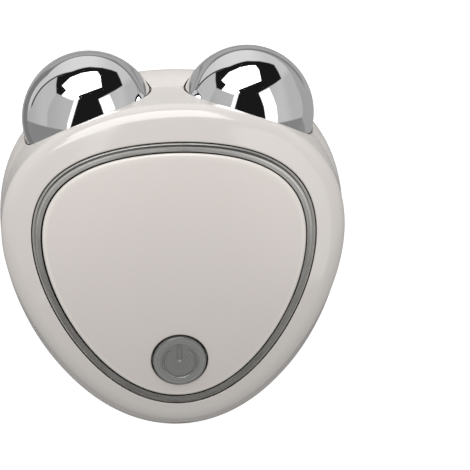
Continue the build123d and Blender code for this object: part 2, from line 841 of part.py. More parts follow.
# The roller on each side: hollow ball, hub, axle, clip, two bushings, contact spring and lead
for side, name in ((-1, "left"), (1, "right")):
    axis = Axis(ball_centre(side), inward(side))

    with BuildPart() as ball:
        with BuildSketch(axle_section(side)):
            Circle(ball_radius)
            Circle(ball_radius - ball_wall, mode=Mode.SUBTRACT)
            Rectangle(
                ball_diameter, ball_diameter, align=(Align.MAX, Align.CENTER), mode=Mode.SUBTRACT
            )
            Rectangle(hub_radius, ball_radius, align=(Align.MIN, Align.MIN), mode=Mode.SUBTRACT)
        revolve(axis=axis)
    ball.part.label = name + "_ball"
    export_step(ball.part, "parts/" + name + "_ball.step")

    with BuildPart() as hub:
        with BuildSketch(axle_section(side)):
            with BuildLine():
                Polyline(
                    (axle_radius, axle_start),
                    (hub_tube_radius, axle_start),
                    (hub_tube_radius, hub_back),
                    (hub_radius, hub_back),
                    (hub_radius, hub_face),
                    (hub_collar_radius, hub_face),
                    (hub_collar_radius, outer_bushing_at - end_play),
                    (axle_radius, outer_bushing_at - end_play),
                    close=True,
                )
            make_face()
        revolve(axis=axis)
    hub.part.label = name + "_hub"
    export_step(hub.part, "parts/" + name + "_hub.step")

    with BuildPart() as axle:
        with BuildSketch(axle_section(side)):
            with BuildLine():
                Polyline(
                    (0, axle_start),
                    (axle_radius, axle_start),
                    (axle_radius, clip_at),
                    (clip_groove_radius, clip_at),
                    (clip_groove_radius, clip_at + clip_thickness),
                    (axle_radius, clip_at + clip_thickness),
                    (axle_radius, axle_end - axle_chamfer),
                    (axle_radius - axle_chamfer, axle_end),
                    (0, axle_end),
                    close=True,
                )
            make_face()
        revolve(axis=axis)
    axle.part.label = name + "_axle"
    export_step(axle.part, "parts/" + name + "_axle.step")

    with BuildPart() as clip:
        with BuildSketch(axle_plane(side, clip_at)):
            Circle(clip_radius)
            Circle(clip_groove_radius, mode=Mode.SUBTRACT)
            Rectangle(
                clip_radius, clip_opening, align=(Align.MIN, Align.CENTER), mode=Mode.SUBTRACT
            )
        extrude(amount=clip_thickness)
    clip.part.label = name + "_axle_clip"
    export_step(clip.part, "parts/" + name + "_axle_clip.step")

    for place, start, length in (
        ("outer", outer_bushing_at, outer_bushing_length),
        ("inner", inner_bushing_at, inner_bushing_length),
    ):
        with BuildPart() as bushing:
            with BuildSketch(axle_plane(side, start)):
                Circle(bushing_radius)
            extrude(amount=length)
            with BuildSketch(axle_plane(side, start + length - bushing_flange_thickness)):
                Circle(bushing_flange_radius)
            extrude(amount=bushing_flange_thickness)
            with BuildSketch(axle_plane(side, start)):
                Circle(axle_radius + running_gap)
            extrude(amount=length, mode=Mode.SUBTRACT)
        bushing.part.label = name + "_" + place + "_bushing"
        export_step(bushing.part, "parts/" + name + "_" + place + "_bushing.step")

    with BuildPart() as contact_spring:
        with BuildSketch(spring_section(side)):
            with BuildLine():
                Polyline(
                    (spring_at, contact_spring_rise),
                    (spring_at + contact_spring_thickness, contact_spring_rise),
                    (spring_at + contact_spring_thickness, spring_foot_top),
                    (spring_at + spring_foot_length, spring_foot_top),
                    (spring_at + spring_foot_length, -main_board_drop),
                    (spring_at, -main_board_drop),
                    close=True,
                )
            make_face()
        extrude(amount=contact_spring_width / 2, both=True)
    contact_spring.part.label = name + "_contact_spring"
    export_step(contact_spring.part, "parts/" + name + "_contact_spring.step")

    foot = spring_section(side).from_local_coords(
        Vector(spring_at + spring_foot_length * electrode_foot_share, spring_foot_top, 0)
    )
    rise_z = parting_z + spring_foot_top + electrode_lead_rise
    landing_x = side * electrode_landing_x
    with BuildPart() as electrode_lead:
        add(
            lead(
                [
                    foot,
                    (foot.X, foot.Y, rise_z),
                    (landing_x, electrode_landing_y, rise_z),
                    (landing_x, electrode_landing_y, main_board_z),
                ],
                electrode_lead_bend,
            )
        )
    electrode_lead.part.label = name + "_electrode_lead"
    export_step(electrode_lead.part, "parts/" + name + "_electrode_lead.step")
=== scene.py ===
import json
import math

import bmesh
import bpy
import numpy as np
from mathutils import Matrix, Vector


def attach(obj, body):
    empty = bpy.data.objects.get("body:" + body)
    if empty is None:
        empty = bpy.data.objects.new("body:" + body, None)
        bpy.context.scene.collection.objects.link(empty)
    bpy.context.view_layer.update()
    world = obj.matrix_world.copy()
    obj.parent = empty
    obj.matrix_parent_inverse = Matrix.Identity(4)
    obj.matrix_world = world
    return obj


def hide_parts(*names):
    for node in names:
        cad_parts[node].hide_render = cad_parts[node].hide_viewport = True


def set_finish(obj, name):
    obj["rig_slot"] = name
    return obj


# Facial toning device. Shapes are worked out in millimetres, in the frame of the CAD model,
# and become metres in addPiece.

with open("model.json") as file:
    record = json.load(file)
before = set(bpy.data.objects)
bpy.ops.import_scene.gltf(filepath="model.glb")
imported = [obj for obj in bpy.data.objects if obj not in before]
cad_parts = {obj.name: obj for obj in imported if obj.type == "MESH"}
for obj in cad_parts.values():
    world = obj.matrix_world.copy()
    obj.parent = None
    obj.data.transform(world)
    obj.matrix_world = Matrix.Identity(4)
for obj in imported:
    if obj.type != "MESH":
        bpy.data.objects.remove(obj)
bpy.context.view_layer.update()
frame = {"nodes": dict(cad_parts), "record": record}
mm = 0.001
print("frame loaded:", len(frame["nodes"]), "nodes")

# an outline is its half width, its head and its tail
body = {
    "parting": 20.0,
    "partingOutline": (44.1, 39.0, -47.45),
    "widestOutline": (44.7, 44.2, -48.85),
    "taper": 0.091,
    "corner": 0.0222,
    "fullness": 0.0105,
    "bulgeDepth": 9.0,
    "baseInset": 14.0,
    "landMiddle": -3.0,  # y of the middle of the flat land on the back
    "crownTop": 44.0,
    "crownApex": 8.0,
    "crownLength": 88.0,  # radius of the crown's arc along the body
    "crownWidth": 110.0,  # radius of the arc's turn across it
    "shoulder": 6.0,
    "drafts": (4.6, 18.0, 15.0),  # degrees at the sides, head and tail
    "wallTop": 28.0,
    "cornerEasing": 0.0018,  # corner lost with each millimetre up the wall
    "tailFade": (1.4, 0.35),  # slope and start of tailShare
}
roller = {
    "radius": 17.25,
    "socket": 17.6,
    "centre": (20.3, 31.6, 20.0),
    "splay": 23.9,
    "wall": 1.6,
    "opening": 8.0,
}
trim = {
    "outline": (35.2, 23.15, -41.85),
    "panelOutline": (32.9, 20.85, -40.0),
    "taper": 0.155,
    "corner": 0.035,
    "seatGap": 0.2,
    "depth": 2.4,
    "sunk": 0.35,
    "panelEdge": 0.8,
}
button = {
    "y": -30.75,
    "radius": 6.62,
    "hole": 7.15,
    "proud": 0.4,
    "rim": ((0.1, 0.01), (0.05, 0.03), (0.02, 0.08), (0.0, 0.14)),  # in from the edge, and down
    "rimStart": 0.16,  # the face ends this far in
    "flangeTop": 2.9,
    "flangeRadius": 7.75,
    "stemTop": 3.9,
    "stemRadius": 1.75,
    "stemEnd": 5.6,
    "symbolRadius": 4.08,
    "symbolStroke": 0.56,
    "symbolGap": 38.0,  # degrees from the top to each end of the ring
    "symbolDepth": 0.22,
    "symbolShift": -0.4,
    "symbolEdge": 0.2,  # width of the symbol's sloping wall
    "barWidth": 1.15,
    "barSpan": (0.35, 5.35),
}


# Egg: x is the half width times the sine of the angle plus a taper term in its double, and y is
# the middle plus the reach times the cosine plus terms that square off head and corners. The
# inset moves each point along the outline's inward normal.
def eggOutline(a, size, taper, corner, inset=0.0):
    width, head, tail = size
    crest = (math.sqrt(1 + 32 * taper**2) - 1) / (8 * taper)
    widest = math.sqrt(1 - crest**2) * (1 + 2 * taper * crest)
    middle, reach = (head + tail) / 2, (head - tail) / 2
    x = width * (np.sin(a) + taper * np.sin(2 * a)) / widest
    y = middle + reach * (
        np.cos(a) + body["fullness"] * (1 - np.cos(2 * a)) + corner * (np.cos(a) - np.cos(3 * a))
    )
    dx = width * (np.cos(a) + 2 * taper * np.cos(2 * a)) / widest
    dy = reach * (
        2 * body["fullness"] * np.sin(2 * a) - np.sin(a) + corner * (3 * np.sin(3 * a) - np.sin(a))
    )
    run = np.hypot(dx, dy)
    return np.stack([x + inset * dy / run, y - inset * dx / run], -1)


def crownArc(y, drop=0.0):
    return np.sqrt((body["crownLength"] - drop) ** 2 - (y - body["crownApex"]) ** 2)


# Crown: an arc along the length, turned about a lengthwise axis, so every drop gives a parallel
# face.
def crownHeight(x, y, drop=0.0):
    along = body["crownWidth"] - body["crownLength"] + crownArc(y, drop)
    return body["crownTop"] - body["crownWidth"] + np.sqrt(along**2 - x**2)


# Normal of the crown: half the gradient of x squared plus z squared less the arc's reach
# squared, with z from the turn's axis.
def crownNormal(x, y):
    arc = crownArc(y)
    along = body["crownWidth"] - body["crownLength"] + arc
    normal = np.stack([x, along * (y - body["crownApex"]) / arc, np.sqrt(along**2 - x**2)], -1)
    return unit(normal)


def partingLine(a, inset=0.0):
    return eggOutline(a, body["partingOutline"], body["taper"], body["corner"], inset)


def trimLine(a, outline="outline", inset=0.0):
    return eggOutline(a, trim[outline], trim["taper"], trim["corner"], inset)


def fullTurn(columns):
    return np.linspace(0, 2 * math.pi, columns, endpoint=False)


def dropFrom(xy, depth):
    return np.concatenate([xy, crownHeight(xy[..., 0], xy[..., 1], depth)[..., None]], -1)


# 0 at the head and the sides, rising with minus the cosine of the angle to 1 round the tail,
# where the walls of the joints catch the light
def tailShare(a):
    slope, start = body["tailFade"]
    return np.clip(-np.cos(a) * slope - start, 0, 1)


def unit(v):
    return v / np.maximum(np.linalg.norm(v, axis=-1, keepdims=True), 1e-12)


# Points on the great arc from direction a to direction b, at shares t of its angle.
def turnBetween(a, b, t):
    a, b = unit(a)[:, None, :], unit(b)[:, None, :]
    angle = np.arccos(np.clip((a * b).sum(-1, keepdims=True), -1, 1))
    angle = np.maximum(angle, 1e-6)
    t = t[..., None] if t.ndim == 2 else t[None, :, None]
    return (np.sin((1 - t) * angle) * a + np.sin(t * angle) * b) / np.sin(angle)


# A parabola from start to end that leaves and arrives along the two edges of the corner.
def cornerCurve(start, corner, end, steps):
    t = np.linspace(0, 1, steps)[None, :, None]
    start, corner, end = start[:, None], corner[:, None], end[:, None]
    return (1 - t) ** 2 * start + 2 * t * (1 - t) * corner + t**2 * end


pieces = {}
weld = {"merge": 1e-6, "collapse": 1e-7}  # metres


def addObject(name, data):
    made = bpy.data.objects.new(name, data)
    bpy.context.scene.collection.objects.link(made)
    return made


# One mesh from a grid: each row of the array is a closed loop of columns, so rings has the shape
# rows, columns, 3. Rows of equal points close to a pole. Marks become attributes of the points.
def addPiece(name, rings, owner, replaced, slot, closedAcross=False, uv=False, **marks):
    rows, columns = rings.shape[:2]
    ids = np.arange(rows * columns).reshape(rows, columns)
    if closedAcross:
        ids = np.vstack([ids, ids[:1]])
    right = np.roll(ids, -1, axis=1)
    quads = np.stack([ids[:-1], right[:-1], right[1:], ids[1:]], -1).reshape(-1, 4)
    mesh = bpy.data.meshes.new(name)
    mesh.from_pydata((rings.reshape(-1, 3) * mm).tolist(), [], quads.tolist())
    if uv:
        layer = mesh.uv_layers.new(name="along")
        u, v = np.meshgrid(np.arange(columns + 1) / columns, np.arange(rows + 1) / rows)
        r, c = np.divmod(np.arange(len(quads)), columns)
        corners = [(r, c), (r, c + 1), (r + 1, c + 1), (r + 1, c)]
        flat = np.stack([np.stack([u[i, j], v[i, j]], -1) for i, j in corners], 1)
        layer.data.foreach_set("uv", flat.reshape(-1).astype(np.float32))
    for mark, values in marks.items():
        layer = mesh.attributes.new(mark, "FLOAT", "POINT")
        values = np.broadcast_to(values, (rows, columns))
        layer.data.foreach_set("value", values.reshape(-1).astype(np.float32))
    piece = addObject(name, mesh)
    cleanMesh(mesh)
    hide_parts(*replaced)
    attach(piece, owner)
    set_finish(piece, slot)
    pieces[name] = piece
    return piece


def cleanMesh(mesh):
    work = bmesh.new()
    work.from_mesh(mesh)
    bmesh.ops.remove_doubles(work, verts=work.verts, dist=weld["merge"])
    bmesh.ops.dissolve_degenerate(work, edges=work.edges, dist=weld["collapse"])
    bmesh.ops.recalc_face_normals(work, faces=work.faces)
    work.to_mesh(mesh)
    work.free()
    mesh.polygons.foreach_set("use_smooth", np.ones(len(mesh.polygons), bool))
    mesh.update()


def weighNormals(piece):
    modifier = piece.modifiers.new("normals", "WEIGHTED_NORMAL")
    modifier.keep_sharp = True
    modifier.weight = 60


def thicken(piece, thickness):
    modifier = piece.modifiers.new("wall", "SOLIDIFY")
    modifier.thickness = thickness * mm
    modifier.offset = -1
    modifier.use_even_offset = False


def applyModifiers(piece):
    bpy.context.view_layer.update()
    shape = bpy.data.meshes.new_from_object(piece.evaluated_get(bpy.context.evaluated_depsgraph_get()))
    piece.modifiers.clear()
    piece.data = shape


ballSpot = np.array(roller["centre"])
shellCut = {
    "rim": 0.32,  # the edge is rounded back this far at a socket's rim
    "parting": 0.12,  # and at the parting line
    "edgeRows": 5,
    "crowd": 1.5,  # power that crowds the wall's rows towards the edge
    "face": 0.8,  # width of the parting face
    "measures": 241,  # points at which a column's length is measured
}
columnPlan = {
    "search": (0.0, 1.6, 20001),  # angles tried for the socket's corners
    "step": 2e-4,  # angle from a corner to the columns beside it
    "bridgePower": 0.8,  # columns crowd to the socket on the bridge
    "flankEasing": 0.35,  # and along the flank
}


# The two angles where the parting outline meets the right socket's sphere.
def socketEdge():
    a = np.linspace(*columnPlan["search"])
    xy = partingLine(a)
    inside = np.hypot(xy[:, 0] - ballSpot[0], xy[:, 1] - ballSpot[1]) < roller["socket"]
    hits = np.flatnonzero(inside)
    return a[hits[0]], a[hits[-1]]


innerEdge, outerEdge = socketEdge()


# Angles that crowd towards both ends of a sector: its middle less the cosine of half a turn
# times half its width.
def eased(low, high, count):
    t = np.linspace(0, 1, count)
    return low + (high - low) * (0.5 - 0.5 * np.cos(math.pi * t))


# Angles from the middle of the head round to the right, the tail and back, with the columns
# that lie in a socket and the side of each.
def columnAngles(bridge, socket, flank):
    step, easing = columnPlan["step"], columnPlan["flankEasing"]
    half = np.concatenate([
        np.linspace(0, 1, bridge)[:-1] ** columnPlan["bridgePower"] * (innerEdge - step),
        [innerEdge - step],
        eased(innerEdge + step, outerEdge - step, socket),
        [outerEdge + step],
    ])
    t = np.linspace(0, 1, flank)
    rest = outerEdge + step + (math.pi - outerEdge - step) * (easing * t**2 + (1 - easing) * t)
    half = np.concatenate([half, rest[1:]])
    left = 2 * math.pi - half[1:-1][::-1]
    angles = np.concatenate([half, left])
    middle = np.minimum(angles, 2 * math.pi - angles)
    inSocket = (middle > innerEdge) & (middle < outerEdge)
    side = np.where(angles < math.pi, 1.0, -1.0)
    return angles, inSocket, side


# For each column of a socket, where its wall meets the parting plane: the arc of the socket's
# circle inside the body, from the inner corner round to the outer one.
def socketFloor(angles, side):
    middle = np.minimum(angles, 2 * math.pi - angles)
    share = (middle - innerEdge) / (outerEdge - innerEdge)
    ends = partingLine(np.array([innerEdge, outerEdge]))
    bearing = np.arctan2(ends[:, 1] - ballSpot[1], ends[:, 0] - ballSpot[0])
    low, high = bearing[0] % (2 * math.pi), bearing[1] % (2 * math.pi)
    turn = low + (high - low) * share
    return np.stack([
        side * (ballSpot[0] + roller["socket"] * np.cos(turn)),
        ballSpot[1] + roller["socket"] * np.sin(turn),
        np.full_like(turn, body["parting"]),
    ], -1)


# The station where each column leaves the socket's sphere, found by halving; 0 outside a socket.
def rimStations(surface, last, angles, inSocket, centre):
    steps = 600
    fine = np.linspace(0, last, steps + 1)
    points = surface(angles, np.repeat(fine[None], len(angles), 0))
    away = np.linalg.norm(points - centre[:, None], axis=-1)
    inside = (away < roller["socket"]) & inSocket[:, None]
    lastInside = np.where(inside.any(1), steps - inside[:, ::-1].argmax(1), 0)
    low, high = fine[lastInside], fine[np.minimum(lastInside + 1, steps)]
    for _ in range(30):
        half = (low + high) / 2
        away = np.linalg.norm(surface(angles, half[:, None])[:, 0] - centre, axis=-1)
        near = away < roller["socket"]
        low, high = np.where(near, half, low), np.where(near, high, half)
    return np.where(inside.any(1), (low + high) / 2, 0.0)


# The outer surface, row by row, from the parting line or the socket's rim up to its last
# station, with rows spread evenly along each column. Then a rounded edge and, below it, the
# socket's wall or the start of the parting face.
def shellRows(surface, angles, inSocket, side, p):
    cut, last = shellCut, 3.0
    ones = np.ones_like(side)
    centre = ballSpot * np.stack([side, ones, ones], -1)
    start = rimStations(surface, last, angles, inSocket, centre)

    # length along each column, from its start
    share = np.linspace(0, 1, cut["measures"])[None] * (last - start[:, None]) + start[:, None]
    path = surface(angles, share)
    step = np.linalg.norm(np.diff(path, axis=1), axis=-1)
    length = np.concatenate([np.zeros((len(angles), 1)), np.cumsum(step, 1)], 1)

    corner = path[:, 0]
    edge = np.where(inSocket, cut["rim"], cut["parting"])[:, None]
    wanted = edge + np.linspace(0, 1, p["rows"])[None] * (length[:, -1:] - edge - p["lastEdge"])
    spread = np.stack([np.interp(w, l, s) for w, l, s in zip(wanted, length, share)])
    outer = surface(angles, spread)

    # the socket's wall, along great arcs of its sphere
    floor = socketFloor(angles, side)
    arc = np.arccos(np.clip((unit(corner - centre) * unit(floor - centre)).sum(-1), -1, 1))
    first = np.minimum(cut["rim"] / np.maximum(roller["socket"] * arc, 1e-3), 0.5)[:, None]
    even = np.linspace(0, 1, p["wallRows"])[None]
    wall = turnBetween(corner - centre, floor - centre, first + (1 - first) * even ** cut["crowd"])
    wall = centre[:, None] + roller["socket"] * wall

    # the parting face, inwards from its outline
    inward = np.concatenate([partingLine(angles, 1.0), np.full((len(angles), 1), body["parting"])], 1)
    inward = inward - np.where(inSocket[:, None], 0, corner)
    reach = cut["parting"] + even[..., None] * cut["face"]
    face = corner[:, None] + unit(inward)[:, None] * reach

    lower = np.where(inSocket[:, None, None], wall, face)
    rounded = cornerCurve(lower[:, 0], corner, outer[:, 0], cut["edgeRows"])
    return np.concatenate([lower[:, :0:-1], rounded, outer[:, 1:]], 1)


frontSkin = {
    "columns": (44, 100, 110),  # on the bridge, in a socket and on a flank
    "rows": 46,
    "wallRows": 12,
    "lastEdge": 0.34,  # rounded back at the last row
    "seatRows": 7,
    "trayWallRows": 5,
    "trayBelow": 0.02,  # the tray's floor lies this far under the panel
    "trayMiddle": (0.0, -8.0),
    "trayShares": (0.93, 0.7, 0.4, 0.15, 0.0),  # rows of its floor, in to its middle
    "socketShade": 0.9,
    "skin": 0.1,
}


# A straight line from the parting outline to the outline at the wall's top, for each angle.
def frontWall(a, h):
    rise = body["wallTop"]
    side, head, tail = (rise * math.tan(math.radians(d)) for d in body["drafts"])
    width, headEnd, tailEnd = body["partingOutline"]
    size = (width - side, headEnd - head, tailEnd + tail)
    top = eggOutline(a, size, body["taper"], body["corner"] - rise * body["cornerEasing"])
    share = (h / rise)[..., None]
    xy = partingLine(a) * (1 - share) + top * share
    return np.concatenate([xy, (body["parting"] + h)[..., None]], -1)


def frontWallNormal(a, h):
    small = 1e-4
    along = frontWall(a + small, h) - frontWall(a - small, h)
    up = frontWall(a, h + small) - frontWall(a, h - small)
    return unit(np.cross(up, along))


# For each angle, the height on the wall where a ball of the shoulder's radius, rolling inside,
# touches both the wall and the crown; with its centre and the two contact normals.
def shoulderBalls(a):
    low, high = np.zeros_like(a), np.full_like(a, body["crownTop"] - body["parting"])
    radius = body["shoulder"]
    for _ in range(40):
        h = (low + high) / 2
        centre = frontWall(a, h) - radius * frontWallNormal(a, h)
        under = crownHeight(centre[..., 0], centre[..., 1], radius) > centre[..., 2]
        low, high = np.where(under, h, low), np.where(under, high, h)
    centre = frontWall(a, h) - radius * frontWallNormal(a, h)
    return h, centre, frontWallNormal(a, h), crownNormal(centre[..., 0], centre[..., 1])


# Stations 0 to 1 climb the drafted wall, 1 to 2 roll over the shoulder, and 2 to 3 follow the
# crown in to the edge of the panel's tray.
def frontSurface(a, s):
    touch, centre, wallNormal, topNormal = shoulderBalls(a)
    wall = frontWall(np.repeat(a[:, None], s.shape[1], 1), np.clip(s, 0, 1) * touch[:, None])
    arc = centre[:, None] + body["shoulder"] * turnBetween(wallNormal, topNormal, np.clip(s - 1, 0, 1))
    top = centre + body["shoulder"] * topNormal
    t = np.clip(s - 2, 0, 1)[..., None]
    tray = trimLine(a, inset=-trim["seatGap"])
    crown = dropFrom(top[:, None, :2] * (1 - t) + tray[:, None] * t, 0.0)
    s = s[..., None]
    return np.where(s < 1, wall, np.where(s < 2, arc, crown))


def addShell(node, grid, gap, p):
    piece = addPiece(
        node + "_skin", grid.transpose(1, 0, 2), "housing", [node], "white_gloss", gap=gap.T
    )
    thicken(piece, p["skin"])
    if "port" in p:
        cutPort(piece, p["port"])
    weighNormals(piece)


def buildFrontHousing(p):
    angles, inSocket, side = columnAngles(*p["columns"])
    grid = shellRows(frontSurface, angles, inSocket, side, p)
    tray = trimLine(angles, inset=-trim["seatGap"])
    bottom = trim["depth"] + p["trayBelow"]
    seat = dropFrom(tray, p["lastEdge"])
    edge = cornerCurve(grid[:, -1], dropFrom(tray, 0.0), seat, p["seatRows"])[:, 1:]
    walls = [dropFrom(tray, d)[:, None] for d in np.linspace(p["lastEdge"], bottom, p["trayWallRows"])[1:]]
    middle = np.array(p["trayMiddle"])
    floors = [dropFrom(tray * k + middle * (1 - k), bottom)[:, None] for k in p["trayShares"]]
    inside = p["wallRows"] - 1
    # Painted shade: the socket's walls, and the tray's walls and floor under the trim, are darkened, less
    # round the tail where they catch the light.
    gap = np.concatenate([
        np.repeat(inSocket[:, None] * p["socketShade"], inside, 1),
        np.zeros((len(angles), grid.shape[1] + edge.shape[1] - inside)),
        np.repeat(1 - tailShare(angles)[:, None], len(walls) + len(floors), 1),
    ], 1)
    addShell("front_housing", np.concatenate([grid, edge] + walls + floors, 1), gap, p)


buildFrontHousing(frontSkin)
print("front housing made")

backSkin = {
    "columns": (40, 96, 96),
    "rows": 50,
    "wallRows": 14,
    "lastEdge": 0.0,
    "skin": 0.1,
    "port": {
        "width": 8.1, "height": 3.1, "corner": 0.9, "cornerPoints": 10,
        "middle": 15.25, "reach": (-52.0, -44.0),
    },
}


# Stations 0 to 1 bulge out below the parting line by a sine, 1 to 2 round under to the flat
# land on a quarter of an ellipse, and 2 to 3 run across the land to its middle.
def backSurface(a, s):
    p = np.clip(s, 0, 1)
    bulge = np.sin(p * math.pi / 2)
    turn = np.clip(s - 1, 0, 1) * math.pi / 2
    drawIn = body["baseInset"] * (1 - np.cos(turn))
    low, wide = body["partingOutline"], body["widestOutline"]
    size = [low[i] + bulge * (wide[i] - low[i]) - (1, 1, -1)[i] * drawIn for i in range(3)]
    angle = np.repeat(a[:, None], s.shape[1], 1)
    xy = eggOutline(angle, size, body["taper"], body["corner"])
    inner = np.clip(s - 2, 0, 1)[..., None]
    xy = xy * (1 - inner) + np.array([0.0, body["landMiddle"]]) * inner
    depth = body["parting"] - body["bulgeDepth"]
    z = body["parting"] - body["bulgeDepth"] * p - depth * np.sin(turn)
    return np.concatenate([xy, z[..., None]], -1)


# Cuts the rounded slot of the charging inlet out of the shell's tail.
def cutPort(piece, port):
    r = port["corner"]
    w, h = port["width"] / 2 - r, port["height"] / 2 - r
    loop = []
    for k, (cx, cz) in enumerate(((1, 1), (-1, 1), (-1, -1), (1, -1))):
        turn = np.linspace(0, math.pi / 2, port["cornerPoints"]) + k * math.pi / 2
        loop += [(cx * w + r * math.cos(t), cz * h + r * math.sin(t)) for t in turn]
    n = len(loop)
    verts = [(x * mm, y * mm, (z + port["middle"]) * mm) for y in port["reach"] for x, z in loop]
    faces = [(i, (i + 1) % n, n + (i + 1) % n, n + i) for i in range(n)]
    faces += [tuple(range(n)), tuple(range(2 * n - 1, n - 1, -1))]
    mesh = bpy.data.meshes.new("cutter")
    mesh.from_pydata(verts, [], faces)
    cleanMesh(mesh)
    cutter = addObject("cutter", mesh)
    modifier = piece.modifiers.new("port", "BOOLEAN")
    modifier.operation = "DIFFERENCE"
    modifier.solver = "EXACT"
    modifier.object = cutter
    applyModifiers(piece)
    bpy.data.objects.remove(cutter)


def buildBackHousing(p):
    angles, inSocket, side = columnAngles(*p["columns"])
    grid = shellRows(backSurface, angles, inSocket, side, p)
    # Painted shade on the socket's walls.
    gap = np.zeros(grid.shape[:2])
    gap[:, : p["wallRows"] - 1] = inSocket[:, None]
    addShell("back_housing", grid, gap, p)


buildBackHousing(backSkin)
print("back housing made")

slope = math.asin((button["y"] - body["crownApex"]) / body["crownLength"])
buttonSpot = np.array([0.0, button["y"], float(crownHeight(0.0, button["y"]))])
buttonUp = np.array([0.0, math.sin(slope), math.cos(slope)])
buttonAcross = np.array([1.0, 0.0, 0.0])
buttonAlong = np.cross(buttonUp, buttonAcross)

panelLook = {
    "columns": 420,
    "rows": 40,
    "edgeRows": 7,
    "sideRows": 4,
    "holeEdge": 0.18,  # how far the edge round the button is rounded back
    "holeRows": 5,
    "holeMiddle": 1.2,  # depth of the row half way down it
    "edgeShade": (0.6, 0.2),  # gap shade on the first rows of the rounded edge
    "edgeLight": 0.6,  # edge light on its last row, after 1 on the others
}


# A circle about the button's axis, each point slid along the axis onto the crown.
def holeEdge(turn, radius, depth):
    spokes = np.cos(turn)[:, None] * buttonAcross + np.sin(turn)[:, None] * buttonAlong
    ring = buttonSpot + radius * spokes
    slide = np.zeros_like(turn)
    for _ in range(8):
        point = ring + slide[:, None] * buttonUp
        slide += (crownHeight(point[:, 0], point[:, 1], depth) - point[:, 2]) * buttonUp[2]
    return ring + slide[:, None] * buttonUp


# The panel: a straight side, an edge rounded on a quarter turn, and rows that run in straight
# lines from the edge to the button's rounded hole, all dropped onto the crown.
def buildPanel(p):
    a = fullTurn(p["columns"])
    seat, edge = trim["seatGap"], trim["panelEdge"]
    foot = trimLine(a, "panelOutline", seat)
    side = [dropFrom(foot, d) for d in np.linspace(trim["depth"], edge, p["sideRows"])[:-1]]
    rim = []
    for t in np.linspace(0, math.pi / 2, p["edgeRows"]):
        line = trimLine(a, "panelOutline", seat + edge * (1 - math.cos(t)))
        rim.append(dropFrom(line, edge * (1 - math.sin(t))))
    start = rim[-1]
    bearing = np.arctan2((start - buttonSpot) @ buttonAlong, (start - buttonSpot) @ buttonAcross)
    hole = holeEdge(bearing, button["hole"], 0.0)
    before = dropFrom((hole + unit(start - hole) * p["holeEdge"])[:, :2], 0.0)
    top = [
        dropFrom(start[:, :2] * (1 - t) + before[:, :2] * t, 0.0) for t in np.linspace(0, 1, p["rows"])[1:]
    ]
    below = holeEdge(bearing, button["hole"], p["holeEdge"])
    rounded = cornerCurve(before, hole, below, p["holeRows"]).transpose(1, 0, 2)[1:]
    inner = [holeEdge(bearing, button["hole"], d) for d in (p["holeMiddle"], trim["depth"])]
    rings = np.stack(side + rim + top + list(rounded) + inner)
    first, last = len(side), len(side) + len(rim) - 1
    # Painted shade on the straight side, the first rows of the rounded edge and down the button's hole; the
    # edge mark is a painted highlight along the rounded edge.
    gap = np.zeros((len(rings), 1))
    gap[:first] = 1.0
    gap[first : first + len(p["edgeShade"]), 0] = p["edgeShade"]
    gap[-len(inner):] = 1.0
    light = np.zeros((len(rings), 1))
    light[first:last] = 1.0
    light[last] = p["edgeLight"]
    piece = addPiece(
        "front_panel_skin", rings, "housing", ["front_panel"], "satin_panel", closedAcross=True,
        gap=gap, edge=light,
    )
    weighNormals(piece)


# Rows of the ring's section are a distance across it, a depth below the crown and a gap shade.
# Lines along it lie at a share of its width, and fade in towards the head.
ringLook = {
    "columns": 420,
    "leftGap": 0.16,  # more gap to the panel at the left
    "wallMiddle": 1.4,
    "chamfer": (0.42, 0.2),  # across and down
    "outerEdge": ((0.0, 0.12, 1.0), (0.03, 0.04, 0.3), (0.09, -0.02, 0.0)),  # from the chamfer's foot
    "chamferTop": ((-0.05, 0.03, 0.0), (0.04, 0.0, 0.0)),  # from the chamfer's top
    "innerEdge": ((-0.1, 0.01, 0.0), (-0.03, 0.06, 0.2), (0.0, 0.16, 0.8)),  # from the inner wall
    "flatStart": 0.05,
    "flatRows": 20,
    "flatEnd": 0.2,
    "flatRise": 0.04,
    "headFade": (0.05, 0.8),
    "headLight": 0.5,
    "paintedDarkLine": {"at": 0.32, "half": 0.025, "headHalf": 0.12, "fade": 0.06, "shade": 0.9},
    "fineLine": {"at": 0.68, "half": 0.02, "fade": 0.05, "shade": 0.45},
    "lightLine": {"at": 0.56, "half": 0.055, "fade": 0.055},
}


# 1 along a line at a share of the ring's width and 0 beside it.
def lineAlong(share, line, half):
    return np.clip((half - np.abs(share - line["at"])) / line["fade"] + 0.5, 0, 1)


